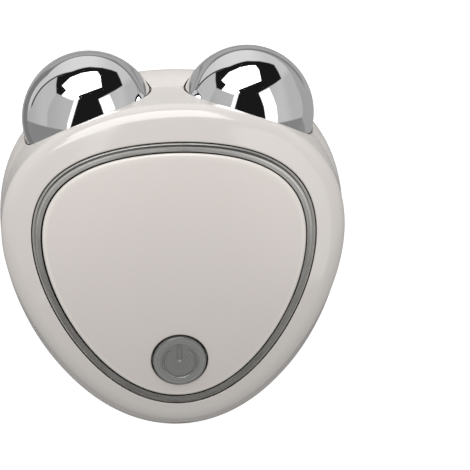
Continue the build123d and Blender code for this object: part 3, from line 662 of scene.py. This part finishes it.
# The ring: a flat band between the two egg outlines, each row a share of the way from the outer
# to the inner one, with a chamfer along its outer edge.
def buildRing(p):
    a = fullTurn(p["columns"])
    outer = trimLine(a)
    inner = trimLine(a, "panelOutline", -p["leftGap"] * (1 - np.sin(a)) / 2)
    width = np.linalg.norm(outer - inner, axis=-1)
    sunk, deep, middle = trim["sunk"], trim["depth"], p["wallMiddle"]
    across, down = p["chamfer"]
    section = [(0 * width, depth, 1.0) for depth in (deep, middle)]
    section += [(0 * width + x, sunk + down + z, shade) for x, z, shade in p["outerEdge"]]
    wallRows = len(section)
    section += [(0 * width + across + x, sunk + z, shade) for x, z, shade in p["chamferTop"]]
    flatFrom = across + p["chamferTop"][-1][0]
    for t in np.linspace(p["flatStart"], 1, p["flatRows"]):
        reach = t * (width - across - p["flatEnd"])
        section.append((flatFrom + reach, sunk - p["flatRise"] * math.sin(t * math.pi), 0.0))
    section += [(width + x, sunk + z, shade) for x, z, shade in p["innerEdge"]]
    section += [(width, depth, 1.0) for depth in (middle, deep)]
    share = np.stack([x / width for x, depth, shade in section])
    rows = []
    for along, (x, depth, shade) in zip(share[..., None], section):
        rows.append(dropFrom(outer * (1 - along) + inner * along, depth))

    # Painted shade from the section's gap shades, less on the walls round the tail, where they catch the
    # light.
    gap = np.repeat(np.array([shade for x, depth, shade in section])[:, None], len(a), 1)
    gap[:wallRows] *= 1 - tailShare(a)
    start, run = p["headFade"]
    head = np.clip((np.cos(a) - start) / run, 0, 1)
    # a painted dark reflection round the head, wide in the middle and fine at its ends, and a second fine
    # dark line, both added to the painted shade
    line, fine = p["paintedDarkLine"], p["fineLine"]
    paintedDarkLine = lineAlong(share, line, line["half"] + line["headHalf"] * head**3) * line["shade"]
    second = lineAlong(share, fine, fine["half"]) * fine["shade"] * (1 - head**3)
    gap += np.minimum(head * 2, 1) * (paintedDarkLine + second)
    # painted highlight on the chamfer away from the tail, on the flat at the head and on a line between
    light = np.zeros_like(gap)
    light[wallRows - 1 : wallRows + 1] = 1 - tailShare(a)
    light[wallRows + 1 :] = p["headLight"] * head
    light += head * lineAlong(share, p["lightLine"], p["lightLine"]["half"])
    piece = addPiece(
        "trim_ring_skin", np.stack(rows), "housing", ["trim_ring"], "trim_metal", closedAcross=True, uv=True,
        gap=gap, chamfer=light,
    )
    weighNormals(piece)


buildPanel(panelLook)
buildRing(ringLook)
print("panel and trim ring made")


# A profile of distances from and along an axis, turned about it.
def turned(profile, origin, axis, across, columns):
    axis, across = np.array(axis, float), np.array(across, float)
    other = np.cross(axis, across)
    turn = fullTurn(columns)
    spokes = np.cos(turn)[:, None] * across + np.sin(turn)[:, None] * other
    profile = np.array(profile)
    return np.array(origin) + profile[:, 0, None, None] * spokes[None] + profile[:, 1, None, None] * axis


ballLook = {"columns": 160, "rows": 90, "innerRows": 30}


# A hollow sphere, open on the hub's side, turned about its axle.
def buildBall(side, name, p):
    radius, wall, mouth = roller["radius"], roller["wall"], roller["opening"]
    splay = math.radians(roller["splay"])
    inward = (-side * math.sin(splay), -math.cos(splay), 0)
    t = np.linspace(0, math.pi - math.asin(mouth / radius), p["rows"])
    outer = radius * np.stack([np.sin(t), -np.cos(t)], -1)
    t = np.linspace(math.pi - math.asin(mouth / (radius - wall)), 0, p["innerRows"])
    inner = (radius - wall) * np.stack([np.sin(t), -np.cos(t)], -1)
    centre = (side * ballSpot[0], ballSpot[1], ballSpot[2])
    rings = turned(np.concatenate([outer, inner]), centre, inward, (0, 0, 1), p["columns"])
    piece = addPiece(name + "_ball_skin", rings, name + "_roller", [name + "_ball"], "chrome")
    weighNormals(piece)


buildBall(-1, "left", ballLook)
buildBall(1, "right", ballLook)
print("balls made")

buttonLook = {"columns": 300, "rows": 110, "rimShade": 0.4}


# 1 inside the power symbol and 0 outside: a ring that is open at the top, and an upright bar.
# Each is the distance from its middle line less half its width, and each edge falls off smoothly.
def symbolMask(x, y):
    y = y - button["symbolShift"]
    half = button["symbolStroke"] / 2
    radius = np.hypot(x, y)
    angle = np.abs(np.arctan2(x, y))
    gap = math.radians(button["symbolGap"])
    endX, endY = button["symbolRadius"] * math.sin(gap), button["symbolRadius"] * math.cos(gap)
    toEnd = np.hypot(np.abs(x) - endX, y - endY)
    toRing = np.where(angle > gap, np.abs(radius - button["symbolRadius"]), toEnd)
    low, high = button["barSpan"]
    barHalf = button["barWidth"] / 2
    toBar = np.hypot(x, y - np.clip(y, low + barHalf, high - barHalf))
    distance = np.minimum(toRing - half, toBar - barHalf)
    t = np.clip(0.5 - distance / button["symbolEdge"], 0, 1)
    return t * t * (3 - 2 * t)


# A disc with a narrow chamfer and the sunk symbol, on its flange and stem, turned about the
# press axis.
def buildButton(p):
    radius, proud = button["radius"], button["proud"]
    flange, stem = button["flangeRadius"], button["stemRadius"]
    face = [(r, proud) for r in np.linspace(0, radius - button["rimStart"], p["rows"])]
    rim = [(radius - back, proud - down) for back, down in button["rim"]]
    profile = face + rim
    profile += [(radius, -button["flangeTop"]), (flange, -button["flangeTop"])]
    profile += [(flange, -button["stemTop"]), (stem, -button["stemTop"])]
    profile += [(stem, -button["stemEnd"]), (0.0, -button["stemEnd"])]
    rings = turned(profile, buttonSpot, buttonUp, buttonAcross, p["columns"])
    x = (rings - buttonSpot) @ buttonAcross
    y = (rings - buttonSpot) @ buttonAlong
    mask = symbolMask(x, y)
    mask[len(face):] = 0
    rings = rings - (button["symbolDepth"] * mask)[..., None] * buttonUp
    # Painted shade on the rim's rounded edge, and the full gap shade on the flange and stem below it.
    gap = np.zeros((len(rings), 1))
    gap[len(face):] = p["rimShade"]
    gap[len(face) + len(rim):] = 1.0
    piece = addPiece(
        "power_button_skin", rings, "button", ["power_button"], "button_metal", symbol=mask, gap=gap
    )
    weighNormals(piece)


buildButton(buttonLook)
print("power button made")


# One output of a node. Sums on it add Math nodes.
class Wire:
    def __init__(self, bench, socket):
        self.bench, self.socket = bench, socket

    def sum(self, operation, *values):
        return self.bench.add("ShaderNodeMath", {"operation": operation}, dict(enumerate(values)))

    def __add__(self, other):
        return self.sum("ADD", self, other)

    __radd__ = __add__

    def __sub__(self, other):
        return self.sum("SUBTRACT", self, other)

    def __rsub__(self, other):
        return self.sum("SUBTRACT", other, self)

    def __mul__(self, other):
        return self.sum("MULTIPLY", self, other)

    __rmul__ = __mul__

    def __abs__(self):
        return self.sum("ABSOLUTE", self)

    def root(self):
        return self.sum("SQRT", self)

    def atLeast(self, other):
        return self.sum("MAXIMUM", self, other)


# A node tree being filled.
class Bench:
    def __init__(self, tree):
        self.tree = tree
        tree.nodes.clear()

    def add(self, kind, settings=None, inputs=None, out=0):
        node = self.tree.nodes.new(kind)
        for key, value in (settings or {}).items():
            setattr(node, key, value)
        for key, value in (inputs or {}).items():
            socket = node.inputs[key]
            if isinstance(value, Wire):
                self.tree.links.new(value.socket, socket)
            elif isinstance(value, tuple) and socket.type == "RGBA":
                socket.default_value = (*value, 1)
            else:
                socket.default_value = value
        return Wire(self, node.outputs[out])

    def place(self):
        return self.add("ShaderNodeTexCoord", out="Object")

    def ray(self, kind):
        return self.add("ShaderNodeLightPath", out=kind)

    def part(self, vector, axis):
        return self.add("ShaderNodeSeparateXYZ", {}, {0: vector}, axis)

    def vector(self, operation, *values, out=0):
        return self.add("ShaderNodeVectorMath", {"operation": operation}, dict(enumerate(values)), out)

    def noise(self, scale, detail=2.0, rough=0.5, where=None):
        inputs = {"Vector": where or self.place(), "Scale": scale, "Detail": detail, "Roughness": rough}
        return self.add("ShaderNodeTexNoise", {}, inputs)

    def mix(self, share, first, second):
        return self.add("ShaderNodeMix", {"data_type": "RGBA"}, {0: share, 6: first, 7: second}, 2)

    def smooth(self, value, low, high):
        kind = {"interpolation_type": "SMOOTHSTEP"}
        return self.add("ShaderNodeMapRange", kind, {0: value, 1: low, 2: high})

    def mark(self, name):
        return self.add("ShaderNodeAttribute", {"attribute_name": name}, out="Fac")

    def bump(self, height, distance, strength):
        return self.add("ShaderNodeBump", {}, {"Height": height, "Distance": distance, "Strength": strength})

    def surface(self, inputs):
        self.finish(self.add("ShaderNodeBsdfPrincipled", {}, inputs))

    def finish(self, shader, target="ShaderNodeOutputMaterial"):
        end = self.tree.nodes.new(target)
        self.tree.links.new(shader.socket, end.inputs[0])


def startMaterial(name):
    material = bpy.data.materials.new(name)
    material.use_nodes = True
    return material, Bench(material.node_tree)


# Noise is its scale, on coordinates in metres, and its detail. A roughness is its middle and how
# much it varies, and a bump is its height in metres and its strength.
# Painted shade: the gap mark darkens joints, socket walls and recesses towards this colour.
gapShadeColour = (0.012, 0.012, 0.012)  # deep in the joints between pieces
shellFinish = {
    "light": (0.638, 0.603, 0.573), "shade": (0.623, 0.588, 0.558), "cloud": (28, 3),
    "roughness": (0.12, 0.06), "smear": (90, 4), "ior": 1.5, "grain": (1400, 2), "bump": (0.000003, 0.5),
}
# the panel's edge colour is a painted highlight along its rounded edge
panelFinish = {
    "light": (0.664, 0.613, 0.584), "shade": (0.644, 0.598, 0.569), "edge": (0.74, 0.70, 0.655),
    "cloud": (22, 2), "roughness": (0.34, 0.08), "smear": (260, 3), "ior": 1.46,
    "grain": (5200, 3, 0.6), "bump": (0.000006, 0.6),
}
# the ring's chamfer colour is a painted highlight, laid where the chamfer mark is
ringFinish = {
    "light": (0.325, 0.315, 0.298), "shade": (0.15, 0.146, 0.139), "chamfer": (0.50, 0.49, 0.47),
    "metallic": 0.4, "roughness": (0.42, 0.16), "chamferRoughness": -0.16,
    "turnScale": 5.0, "acrossScale": 24.0, "brush": (1.0, 4, 0.6), "brushEdges": (0.36, 0.64),
    "bump": (0.000008, 0.35),
}
buttonFinish = {
    "rim": (0.40, 0.405, 0.388), "middle": (0.335, 0.335, 0.327), "rimFrom": (4.4, 5.6),
    "metallic": 0.6, "roughness": (0.33, 0.16), "paintedDarkLine": 0.7,
    "spun": {"Scale": 2600.0, "Detail": 3.0, "Roughness": 0.65}, "spunShade": (0.65, 0.7),
    "bump": (0.000012, 0.5),
}
chromeFinish = {"colour": (0.80, 0.80, 0.81), "roughness": (0.033, 0.03), "smear": (140, 3)}
innerLook = {"darkest": 0.82, "detail": 3, "spread": 0.2, "bump": (0.00002, 0.3)}
# colour, metallic, roughness and scale of the speck, for the pieces inside
innerFinishes = {
    "brass": ((0.72, 0.53, 0.28), 1.0, 0.35, 400),
    "steel": ((0.56, 0.56, 0.57), 1.0, 0.35, 400),
    "dark_plastic": ((0.05, 0.05, 0.055), 0.0, 0.5, 900),
    "board_green": ((0.03, 0.14, 0.06), 0.0, 0.4, 300),
    "ceramic_tan": ((0.42, 0.33, 0.22), 0.0, 0.6, 900),
    "foam_grey": ((0.16, 0.16, 0.17), 0.0, 0.9, 1600),
    "cell_foil": ((0.62, 0.62, 0.64), 0.8, 0.35, 200),
    "lead_red": ((0.45, 0.03, 0.03), 0.0, 0.5, 700),
    "lead_white": ((0.75, 0.75, 0.74), 0.0, 0.5, 700),
}


# A roughness that varies with a pattern about its middle.
def vary(pattern, roughness):
    middle, spread = roughness
    return pattern * spread + (middle - spread / 2)


# Moulded plastic: a faint cloud of colour, a painted highlight along the edge where it has one, painted
# shade from the gap mark, and a fine grain.
def mouldedMaterial(name, p):
    material, b = startMaterial(name)
    colour = b.mix(b.noise(*p["cloud"]), p["shade"], p["light"])
    if "edge" in p:
        colour = b.mix(b.mark("edge"), colour, p["edge"])
    b.surface({
        "Base Color": b.mix(b.mark("gap"), colour, gapShadeColour),
        "Roughness": vary(b.noise(*p["smear"]), p["roughness"]), "IOR": p["ior"],
        "Normal": b.bump(b.noise(*p["grain"]), *p["bump"]),
    })
    return material


# Brushing that runs along the ring: noise on a tube, rolled up from the map so that it closes.
def ringMaterial(p):
    material, b = startMaterial("brushed_trim_metal")
    along = b.add("ShaderNodeUVMap", {"uv_map": "along"})
    turn = b.part(along, "X") * (2 * math.pi)
    rolled = b.add("ShaderNodeCombineXYZ", {}, {
        0: turn.sum("COSINE", turn) * p["turnScale"],
        1: turn.sum("SINE", turn) * p["turnScale"],
        2: b.part(along, "Y") * p["acrossScale"],
    })
    lines = b.smooth(b.noise(*p["brush"], rolled), *p["brushEdges"])
    # the chamfer mark is a painted highlight, and the gap mark painted shade
    chamfer = b.mark("chamfer")
    colour = b.mix(chamfer, b.mix(lines, p["shade"], p["light"]), p["chamfer"])
    b.surface({
        "Base Color": b.mix(b.mark("gap"), colour, gapShadeColour),
        "Roughness": vary(lines, p["roughness"]) + chamfer * p["chamferRoughness"],
        "Metallic": p["metallic"],
        "Normal": b.bump(lines, *p["bump"]),
    })
    return material


# Fine rings about the button's axis: noise of the distance from it, which is the root of the
# squared distance from the centre less the squared height.
def buttonMaterial(p):
    material, b = startMaterial("spun_button_metal")
    centred = b.vector("SUBTRACT", b.place(), tuple(buttonSpot * mm))
    height = b.vector("DOT_PRODUCT", centred, tuple(buttonUp), out="Value")
    length = b.vector("LENGTH", centred, out="Value")
    radius = (length * length - height * height).root()
    rings = b.add("ShaderNodeTexNoise", {"noise_dimensions": "1D"}, {"W": radius, **p["spun"]})
    start, end = (r * mm for r in p["rimFrom"])
    colour = b.mix(b.smooth(radius, start, end), p["middle"], p["rim"])
    symbol = b.mark("symbol")
    wall = symbol * (1 - symbol) * 4  # 1 half way down the symbol's wall
    darkest, spread = p["spunShade"]
    # painted shade: the colour darkens half way down the sunk symbol's wall
    shade = (1 - wall * (1 - p["paintedDarkLine"])) * (rings * spread + darkest)
    colour = b.add("ShaderNodeVectorMath", {"operation": "SCALE"}, {0: colour, "Scale": shade})
    b.surface({
        "Base Color": b.mix(b.mark("gap"), colour, gapShadeColour),
        "Roughness": vary(rings, p["roughness"]), "Metallic": p["metallic"],
        "Normal": b.bump(rings, *p["bump"]),
    })
    return material


def chromeMaterial(p):
    material, b = startMaterial("mirror_chrome")
    b.surface({
        "Base Color": p["colour"], "Roughness": vary(b.noise(*p["smear"]), p["roughness"]), "Metallic": 1.0,
    })
    return material


# A plain finish with fine variation, for the pieces inside.
def innerMaterial(slot, colour, metallic, roughness, scale):
    material, b = startMaterial("inner_" + slot)
    p = innerLook
    speck = b.noise(scale, p["detail"])
    dark = tuple(c * p["darkest"] for c in colour)
    b.surface({
        "Base Color": b.mix(speck, dark, colour), "Roughness": vary(speck, (roughness, p["spread"])),
        "Metallic": metallic, "Normal": b.bump(speck, *p["bump"]),
    })
    return material


finishes = {
    "white_gloss": mouldedMaterial("glossy_white_shell", shellFinish),
    "satin_panel": mouldedMaterial("satin_panel_plastic", panelFinish),
    "trim_metal": ringMaterial(ringFinish),
    "button_metal": buttonMaterial(buttonFinish),
    "chrome": chromeMaterial(chromeFinish),
}
for slot, values in innerFinishes.items():
    finishes[slot] = innerMaterial(slot, *values)
slotOf = {entry["node"]: entry["material_slot"] for entry in frame["record"]["subparts"]}
given = [(node, slotOf[name]) for name, node in frame["nodes"].items()]
given += [(piece, piece["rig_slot"]) for piece in pieces.values()]
for piece, slot in given:
    piece.data.materials.clear()
    piece.data.materials.append(finishes[slot])
print("materials given")

# Distances in millimetres. A dimmed place is where it starts, where it is full and its share;
# the band is where it starts, is full, ends and is gone, and the line its place and half widths.
floorLook = {
    "x": (-68, 130),
    "y": (-160, 84),
    "z": -0.2,
    "colour": (0.50, 0.50, 0.50),
    "glow": 0.78,
    "glossGlow": 0.03,  # share of the glow that gloss sees
    "dimAll": 0.18,
    "dimNearBall": (23.5, 20.5, 0.45),
    "dimLeft": (-42, -52, 0.59),
    "dimTail": (22, 12, 0.43),
    "head": (44, 56),  # streaks start beyond this
    "lean": 0.1,  # of the streaks, away from circles round a ball
    "band": (44, 47, 56, 59, 0.55),
    "line": (32, 2.5, 0.8, 0.47),
}


# A pale sheet, as bright as white paper to the camera. Gloss sees painted shade on it: a painted shadow
# round the balls, and dimming at the left, at the tail and in two streaks beyond the head.
def buildFloor(p):
    (left, right), (tail, head) = p["x"], p["y"]
    corners = [(left, tail), (right, tail), (right, head), (left, head)]
    mesh = bpy.data.meshes.new("floor")
    mesh.from_pydata([(x * mm, y * mm, p["z"] * mm) for x, y in corners], [], [(0, 1, 2, 3)])
    floor = addObject("floor", mesh)
    material, b = startMaterial("pale_floor")
    diffuse = b.add("ShaderNodeBsdfDiffuse", {}, {"Color": p["colour"]})
    glow = b.add("ShaderNodeEmission", {}, {"Color": (1.0, 1.0, 1.0), "Strength": p["glow"]})
    camera, glossy = b.ray("Is Camera Ray"), b.ray("Is Glossy Ray")
    glow = b.add("ShaderNodeMixShader", {}, {0: camera + glossy * p["glossGlow"], 2: glow})

    def reach(value, start, full):
        return b.smooth(value, start * mm, full * mm)

    place = b.place()
    x, y = b.part(place, "X"), b.part(place, "Y")
    across = abs(x) - float(ballSpot[0] * mm)
    along = y - float(ballSpot[1] * mm)
    fromBall = (across * across + along * along).root()
    streak = fromBall + x * p["lean"]
    bandStart, bandFull, bandEnd, bandGone, bandShare = p["band"]
    lineAt, lineEdge, lineFull, lineShare = p["line"]
    fromLine = abs(streak - lineAt * mm)
    atHead = reach(y, *p["head"])
    band = reach(streak, bandStart, bandFull) * reach(streak, bandGone, bandEnd) * atHead
    line = reach(fromLine, lineEdge, lineFull) * atHead
    # painted shadow round each ball, seen only in gloss
    start, full, share = p["dimNearBall"]
    dim = reach(fromBall, start, full) * share + p["dimAll"]
    for value, (start, full, share) in ((x, p["dimLeft"]), (y, p["dimTail"])):
        dim = dim.atLeast(reach(value, start, full) * share)
    dim = dim.atLeast(band * bandShare).atLeast(line * lineShare)
    diffuse = b.add("ShaderNodeMixShader", {}, {0: glossy * dim, 1: diffuse})
    b.finish(b.add("ShaderNodeAddShader", {}, {0: diffuse, 1: glow}))
    mesh.materials.append(material)


tent = {
    "plain": 0.76,  # light from all round, as all but gloss sees it
    "towardsHead": 0.15,  # more from the head side, less from the tail
    "headGlow": 0.53,  # and more again low at the head
    "eye": (-8.8, -31.6, 450.0),  # view from which the tent was laid out
    "roll": 2.35,
    "soft": 0.008,
    "dark": 0.012,
    "window": 6.0,
    "leftStrip": 1.6,
    "rightStrip": 1.9,
    "arc": ((-0.158, -0.043), 0.71),  # middle and reach of the left wall's top line
    "tailSide": 0.28,
}
# walls of the tent: where each starts and is full, its level, and what it gains in between
walls = {
    "left": ((-0.92, -0.64), 0.49, 0.12),
    "middle": ((-0.6, -0.3), 0.50, 0.07),
    "right": ((0.2, 0.5), 0.65),
    "farRight": ((0.52, 0.68), 0.53),
    "farRightLean": 0.2,
    "farRightShare": 0.8,
    "fold": ((-0.605, -0.59), 1.1),  # between left and middle, and its bend
    "beyond": ((-0.75, -0.2), 0.68, 0.16),  # the ground beyond the arc
    "beyondLoss": ((0.0, 0.35), -0.15),
    "beyondEdges": ((-0.01, 0.01), (0.05, 0.2), (-0.1, 0.08)),  # past the arc, up, and up less across
    "arcLine": ((0.013, 0.005), (-0.05, -0.2), (0.1, 0.2)),  # its half width, and its ends across and up
    "tailEdge": ((0.01, -0.01), 0.19, 0.2),  # with its bow and its drop
}
# corners of the cards, clockwise, on the face of a mirror ball
cards = {
    "surround": ((-0.477, 0.477), (-0.468, 0.59), (-0.302, 0.655), (-0.177, 0.705), (-0.086, 0.732),
                 (0.0, 0.748), (0.186, 0.741), (0.323, 0.712), (0.402, 0.684), (0.459, 0.58),
                 (0.498, 0.482), (0.402, 0.414), (0.157, 0.277), (-0.234, 0.255), (-0.466, 0.352)),
    "rightStrip": ((0.15, 0.27), (0.31, 0.345), (0.37, 0.21), (0.415, 0.08), (0.43, -0.05),
                   (0.435, -0.2), (0.26, -0.2)),
    "column": ((-0.15, 0.36), (0.15, 0.285), (0.198, 0.17), (0.232, 0.068), (0.255, -0.08), (0.26, -0.3),
               (-0.31, -0.3), (-0.25, -0.08)),
    "window": ((-0.382, 0.466), (-0.268, 0.58), (-0.109, 0.648), (0.027, 0.675), (0.118, 0.677),
               (0.164, 0.614), (0.191, 0.455), (-0.15, 0.323), (-0.314, 0.398)),
    "windowFoot": ((-0.382, 0.323), (-0.314, 0.398), (-0.15, 0.323), (-0.13, 0.277), (-0.234, 0.261)),
    "leftStrip": ((-0.24, 0.275), (-0.13, 0.277), (-0.235, -0.06), (-0.29, -0.25), (-0.35, -0.25),
                  (-0.30, -0.08), (-0.29, 0.04)),
}
# cards from the first laid to the last, each with its level in the tent
cardLevels = {
    "surround": "dark", "rightStrip": "rightStrip", "column": "dark", "window": "window",
    "windowFoot": "window", "leftStrip": "leftStrip",
}


# The smallest distance to the sides of a card whose corners run clockwise, eased at its edge.
def insideCard(b, u, v, corners, soft):
    nearest = None
    for (x, y), (nextX, nextY) in zip(corners, corners[1:] + corners[:1]):
        length = math.hypot(nextX - x, nextY - y)
        side = (u - x) * ((nextY - y) / length) - (v - y) * ((nextX - x) / length)
        nearest = side if nearest is None else side.sum("MINIMUM", side, nearest)
    return b.smooth(nearest, -soft, soft)


def lay(below, mask, level):
    return below + mask * (level - below)


# The walls that gloss sees: folds left and right of the middle, a pale ground beyond the left
# wall's top line, and a dim tail side.
def tentWalls(b, u, v, p):
    def ramp(value, where, level, gain):
        return b.smooth(value, *where) * gain + level

    upper = v.atLeast(0.0)
    where, bend = walls["fold"]
    seen = ramp(u, *walls["left"])
    seen = lay(seen, b.smooth(u - upper * upper * bend, *where), ramp(u, *walls["middle"]))
    where, level = walls["right"]
    seen = lay(seen, b.smooth(u, *where), level)
    where, level = walls["farRight"]
    farRight = b.smooth(u + v * walls["farRightLean"], *where) * walls["farRightShare"]
    seen = lay(seen, farRight, level)

    (middleU, middleV), reach = p["arc"]
    away = ((u - middleU) * (u - middleU) + (v - middleV) * (v - middleV)).root() - reach
    past, up, corner = walls["beyondEdges"]
    beyond = b.smooth(away, *past) * b.smooth(v, *up) * b.smooth(v - u, *corner)
    where, loss = walls["beyondLoss"]
    seen = lay(seen, beyond, ramp(u, *walls["beyond"]) + b.smooth(u, *where) * loss)
    half, side, up = walls["arcLine"]
    seen = lay(seen, b.smooth(abs(away), *half) * b.smooth(u, *side) * b.smooth(v, *up), p["dark"])
    where, bow, drop = walls["tailEdge"]
    return lay(seen, b.smooth(v - u * u * bow + drop, *where), p["tailSide"])


# A tent as gloss sees it: pale walls, a dark surround with a window at the head, and a dark
# opening overhead between two bright strips. Places on it are those of a mirror ball's face: the
# direction halfway between a ray and the eye, measured across and along the roll.
def buildWorld(p):
    world = bpy.data.worlds.new("studio")
    world.use_nodes = True
    world.cycles.sampling_method = "NONE"
    bpy.context.scene.world = world
    b = Bench(world.node_tree)
    ray = b.add("ShaderNodeTexCoord", out="Generated")
    eye = Vector(p["eye"]).normalized()
    roll = math.radians(p["roll"])
    across = Vector((math.cos(roll), -math.sin(roll), 0))
    across = (across - eye * across.dot(eye)).normalized()
    half = b.vector("NORMALIZE", b.vector("ADD", ray, tuple(eye)))
    u = b.vector("DOT_PRODUCT", half, tuple(across), out="Value")
    v = b.vector("DOT_PRODUCT", half, tuple(eye.cross(across)), out="Value")
    seen = tentWalls(b, u, v, p)
    for name, level in cardLevels.items():
        seen = lay(seen, insideCard(b, u, v, cards[name], p["soft"]), p[level])
    head = b.vector("DOT_PRODUCT", ray, (0.0, 1.0, 0.0), out="Value")
    low = head.atLeast(0.0)
    plain = head * p["towardsHead"] + low * low * p["headGlow"] + p["plain"]
    camera, glossy = b.ray("Is Camera Ray"), b.ray("Is Glossy Ray")
    light = b.add("ShaderNodeBackground", {}, {"Color": plain + camera * (1 - plain)})
    seen = b.add("ShaderNodeBackground", {}, {"Color": seen})
    b.finish(b.add("ShaderNodeMixShader", {}, {0: glossy, 1: light, 2: seen}), "ShaderNodeOutputWorld")


# metres and watts
headSoftbox = {"place": (-0.1, 0.55, 0.6), "target": (0, 0, 0.02), "size": (0.6, 0.4), "power": 1.8}


def addLamp(name, p):
    data = bpy.data.lights.new(name, "AREA")
    data.shape = "RECTANGLE"
    data.size, data.size_y = p["size"]
    data.energy = p["power"]
    lamp = addObject(name, data)
    lamp.location = p["place"]
    lamp.rotation_euler = (Vector(p["target"]) - Vector(p["place"])).to_track_quat("-Z", "Y").to_euler()
    lamp.visible_glossy = False


cameraSetup = {
    "distance": 460.0,  # above the parting plane
    "scale": 0.2578,  # millimetres per pixel at the parting plane
    "pixels": 470,  # across the frame
    "sensor": 36,
    "clip": (0.01, 10),  # metres
    "spot": (-7.5, 0.18),  # point of the parting plane below the camera
    "turn": (0.09, -2.907, -2.398),  # pitch, yaw and roll in degrees, from straight down
}


def makeCamera(p):
    data = bpy.data.cameras.new("camera")
    camera = addObject("camera", data)
    data.sensor_width = p["sensor"]
    data.lens = p["sensor"] * p["distance"] / (p["pixels"] * p["scale"])
    data.clip_start, data.clip_end = p["clip"]
    x, y = p["spot"]
    camera.location = (x * mm, y * mm, (body["parting"] + p["distance"]) * mm)
    camera.rotation_euler = [math.radians(angle) for angle in p["turn"]]
    bpy.context.scene.camera = camera


buildFloor(floorLook)
buildWorld(tent)
addLamp("head_softbox", headSoftbox)
makeCamera(cameraSetup)
bpy.context.scene.view_settings.view_transform = "Standard"
print("studio ready")
